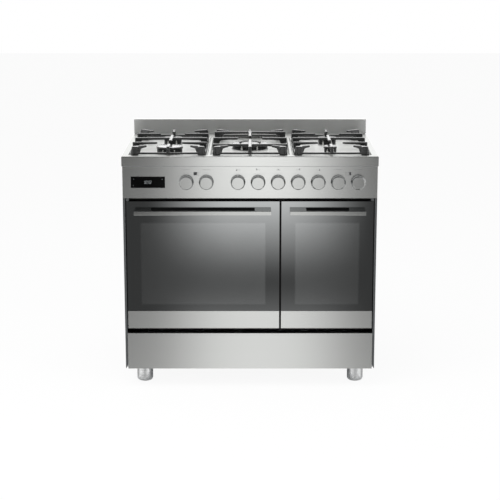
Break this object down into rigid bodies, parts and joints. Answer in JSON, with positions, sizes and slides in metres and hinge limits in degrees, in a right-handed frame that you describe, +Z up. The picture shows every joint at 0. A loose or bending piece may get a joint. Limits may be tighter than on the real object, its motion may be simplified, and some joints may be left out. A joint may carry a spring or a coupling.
{
  "type": "range cooker",
  "caption": "Free-standing wide range cooker with gas burners under cast pan supports, a large and a small oven with drop doors, a knob panel with a clock, and a storage drawer.",
  "frame": {"origin": "on the floor under the middle of the outline", "axes": "+X to the right seen from the front, +Y to the back, +Z up"},
  "size_m": [0.9, 0.642, 0.9],
  "materials": {
    "brushed_steel": "brushed",
    "knob_steel": "turned",
    "grey_paint": "satin",
    "black_enamel": "satin",
    "galvanised_steel": "spangled",
    "oven_enamel": "speckled gloss",
    "cast_iron": "matt",
    "cap_enamel": "matt",
    "burner_aluminium": "cast",
    "brass": "plain",
    "door_glass": "reflective",
    "clear_glass": "clear",
    "display_black": "gloss",
    "wire_chrome": "bright",
    "element_steel": "dull",
    "seal_rubber": "matt",
    "mineral_wool": "woven",
    "ceramic": "plain",
    "switch_plastic": "plain"
  },
  "bodies": {
    "carcass": {"hob_top": "brushed_steel", "splashback": "brushed_steel", "control_panel": "brushed_steel", "feet": "brushed_steel", "side_panel_left": "grey_paint", "side_panel_right": "grey_paint", "front_frame": "black_enamel", "base_tray": "galvanised_steel", "oven_deck": "galvanised_steel", "back_panel": "galvanised_steel", "drawer_rails": "galvanised_steel", "terminal_cover": "galvanised_steel", "hinge_arms": "galvanised_steel", "fan_motor": "galvanised_steel", "main_cavity": "oven_enamel", "second_cavity": "oven_enamel", "fan_baffle": "oven_enamel", "burner_caps": "cap_enamel", "burner_bodies": "burner_aluminium", "gas_rail": "brass", "lamp_lenses": "clear_glass", "clock_display": "display_black", "shelf_ladders": "wire_chrome", "oven_shelves": "wire_chrome", "screws": "wire_chrome", "heating_elements": "element_steel", "door_seals": "seal_rubber", "oven_insulation": "mineral_wool", "igniters": "ceramic", "oven_switches": "switch_plastic"},
    "main_door": {"main_door_glass": "door_glass", "main_door_trim": "brushed_steel", "main_door_frame": "black_enamel", "main_door_inner_glass": "clear_glass", "main_door_handle": "brushed_steel"},
    "second_door": {"second_door_glass": "door_glass", "second_door_trim": "brushed_steel", "second_door_frame": "black_enamel", "second_door_inner_glass": "clear_glass", "second_door_handle": "brushed_steel"},
    "drawer": {"drawer_front": "brushed_steel", "drawer_box": "galvanised_steel"},
    "fan": {"fan_rotor": "burner_aluminium"},
    "pan_support_left": {"pan_support_left": "cast_iron"},
    "pan_support_centre": {"pan_support_centre": "cast_iron"},
    "pan_support_right": {"pan_support_right": "cast_iron"},
    "knob_main_function": {"knob_main_function": "knob_steel"},
    "knob_main_temperature": {"knob_main_temperature": "knob_steel"},
    "knob_second_function": {"knob_second_function": "knob_steel"},
    "knob_second_temperature": {"knob_second_temperature": "knob_steel"},
    "spindle_left_front": {"spindle_left_front": "brass"},
    "knob_left_front": {"knob_left_front": "knob_steel"},
    "spindle_left_rear": {"spindle_left_rear": "brass"},
    "knob_left_rear": {"knob_left_rear": "knob_steel"},
    "spindle_centre": {"spindle_centre": "brass"},
    "knob_centre": {"knob_centre": "knob_steel"},
    "spindle_right_rear": {"spindle_right_rear": "brass"},
    "knob_right_rear": {"knob_right_rear": "knob_steel"},
    "spindle_right_front": {"spindle_right_front": "brass"},
    "knob_right_front": {"knob_right_front": "knob_steel"}
  },
  "joints": [
    {"name": "main_door_hinge", "type": "hinge", "parent": "carcass", "child": "main_door", "pos_m": [-0.166, -0.257, 0.235], "axis": [1, 0, 0], "range_deg": [0, 90], "stiffness_Nm_per_rad": 5, "springref_deg": -11.46},
    {"name": "second_door_hinge", "type": "hinge", "parent": "carcass", "child": "second_door", "pos_m": [0.2735, -0.257, 0.235], "axis": [1, 0, 0], "range_deg": [0, 90], "stiffness_Nm_per_rad": 5, "springref_deg": -11.46},
    {"name": "drawer_slide", "type": "slide", "parent": "carcass", "child": "drawer", "axis": [0, -1, 0], "range_m": [0, 0.35]},
    {"name": "fan_spin", "type": "hinge", "parent": "carcass", "child": "fan", "pos_m": [-0.166, 0.199, 0.4625], "axis": [0, 1, 0], "continuous": true},
    {"name": "pan_support_left_lift", "type": "slide", "parent": "carcass", "child": "pan_support_left", "axis": [0, 0, 1], "range_m": [0, 0.12]},
    {"name": "pan_support_centre_lift", "type": "slide", "parent": "carcass", "child": "pan_support_centre", "axis": [0, 0, 1], "range_m": [0, 0.12]},
    {"name": "pan_support_right_lift", "type": "slide", "parent": "carcass", "child": "pan_support_right", "axis": [0, 0, 1], "range_m": [0, 0.12]},
    {"name": "main_function_turn", "type": "hinge", "parent": "carcass", "child": "knob_main_function", "pos_m": [-0.2235, -0.279, 0.754], "axis": [0, 1, 0], "continuous": true},
    {"name": "main_temperature_turn", "type": "hinge", "parent": "carcass", "child": "knob_main_temperature", "pos_m": [-0.1532, -0.279, 0.754], "axis": [0, 1, 0], "range_deg": [0, 280]},
    {"name": "second_function_turn", "type": "hinge", "parent": "carcass", "child": "knob_second_function", "pos_m": [0.3095, -0.279, 0.754], "axis": [0, 1, 0], "continuous": true},
    {"name": "second_temperature_turn", "type": "hinge", "parent": "carcass", "child": "knob_second_temperature", "pos_m": [0.3798, -0.279, 0.754], "axis": [0, 1, 0], "range_deg": [0, 280]},
    {"name": "left_front_push", "type": "slide", "parent": "carcass", "child": "spindle_left_front", "axis": [0, 1, 0], "range_m": [0, 0.004], "stiffness_N_per_m": 1200, "springref_m": -0.003},
    {"name": "left_front_turn", "type": "hinge", "parent": "spindle_left_front", "child": "knob_left_front", "pos_m": [-0.042, -0.279, 0.754], "axis": [0, -1, 0], "range_deg": [0, 200]},
    {"name": "left_rear_push", "type": "slide", "parent": "carcass", "child": "spindle_left_rear", "axis": [0, 1, 0], "range_m": [0, 0.004], "stiffness_N_per_m": 1200, "springref_m": -0.003},
    {"name": "left_rear_turn", "type": "hinge", "parent": "spindle_left_rear", "child": "knob_left_rear", "pos_m": [0.0283, -0.279, 0.754], "axis": [0, -1, 0], "range_deg": [0, 200]},
    {"name": "centre_push", "type": "slide", "parent": "carcass", "child": "spindle_centre", "axis": [0, 1, 0], "range_m": [0, 0.004], "stiffness_N_per_m": 1200, "springref_m": -0.003},
    {"name": "centre_turn", "type": "hinge", "parent": "spindle_centre", "child": "knob_centre", "pos_m": [0.0986, -0.279, 0.754], "axis": [0, -1, 0], "range_deg": [0, 200]},
    {"name": "right_rear_push", "type": "slide", "parent": "carcass", "child": "spindle_right_rear", "axis": [0, 1, 0], "range_m": [0, 0.004], "stiffness_N_per_m": 1200, "springref_m": -0.003},
    {"name": "right_rear_turn", "type": "hinge", "parent": "spindle_right_rear", "child": "knob_right_rear", "pos_m": [0.1689, -0.279, 0.754], "axis": [0, -1, 0], "range_deg": [0, 200]},
    {"name": "right_front_push", "type": "slide", "parent": "carcass", "child": "spindle_right_front", "axis": [0, 1, 0], "range_m": [0, 0.004], "stiffness_N_per_m": 1200, "springref_m": -0.003},
    {"name": "right_front_turn", "type": "hinge", "parent": "spindle_right_front", "child": "knob_right_front", "pos_m": [0.2392, -0.279, 0.754], "axis": [0, -1, 0], "range_deg": [0, 200]}
  ]
}
